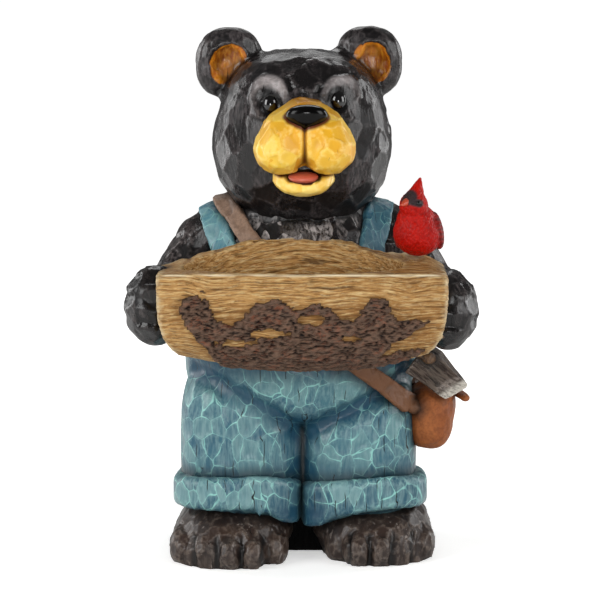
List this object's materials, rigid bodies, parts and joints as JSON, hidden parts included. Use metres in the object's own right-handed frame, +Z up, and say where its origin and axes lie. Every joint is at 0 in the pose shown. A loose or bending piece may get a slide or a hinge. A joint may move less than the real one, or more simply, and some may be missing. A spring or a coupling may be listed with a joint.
{
  "type": "bird bath statue",
  "caption": "Garden statue of a standing bear in dungarees that holds a hollowed half log as a bird bath, with a small red bird perched on the log's end.",
  "frame": {"origin": "on the floor between the feet, at the flat underside of the web that joins them", "axes": "+Z up, -Y the way the bear faces, +X towards the end of the log with the bird"},
  "size_m": [0.3385, 0.2641, 0.5236],
  "materials": {
    "painted_bear": "cast polyresin, hand painted: near-black chiselled fur, golden muzzle, teal dungarees with dry-brushed ridges, brown leather satchel; semi-gloss varnish",
    "painted_log": "cast polyresin painted as pale split wood with raised dark bark; satin varnish",
    "painted_bird": "cast polyresin painted red with a brown mask and darker wing edges; satin varnish"
  },
  "bodies": {
    "root": {"bear": "painted_bear", "log_trough": "painted_log", "cardinal": "painted_bird"}
  },
  "joints": []
}
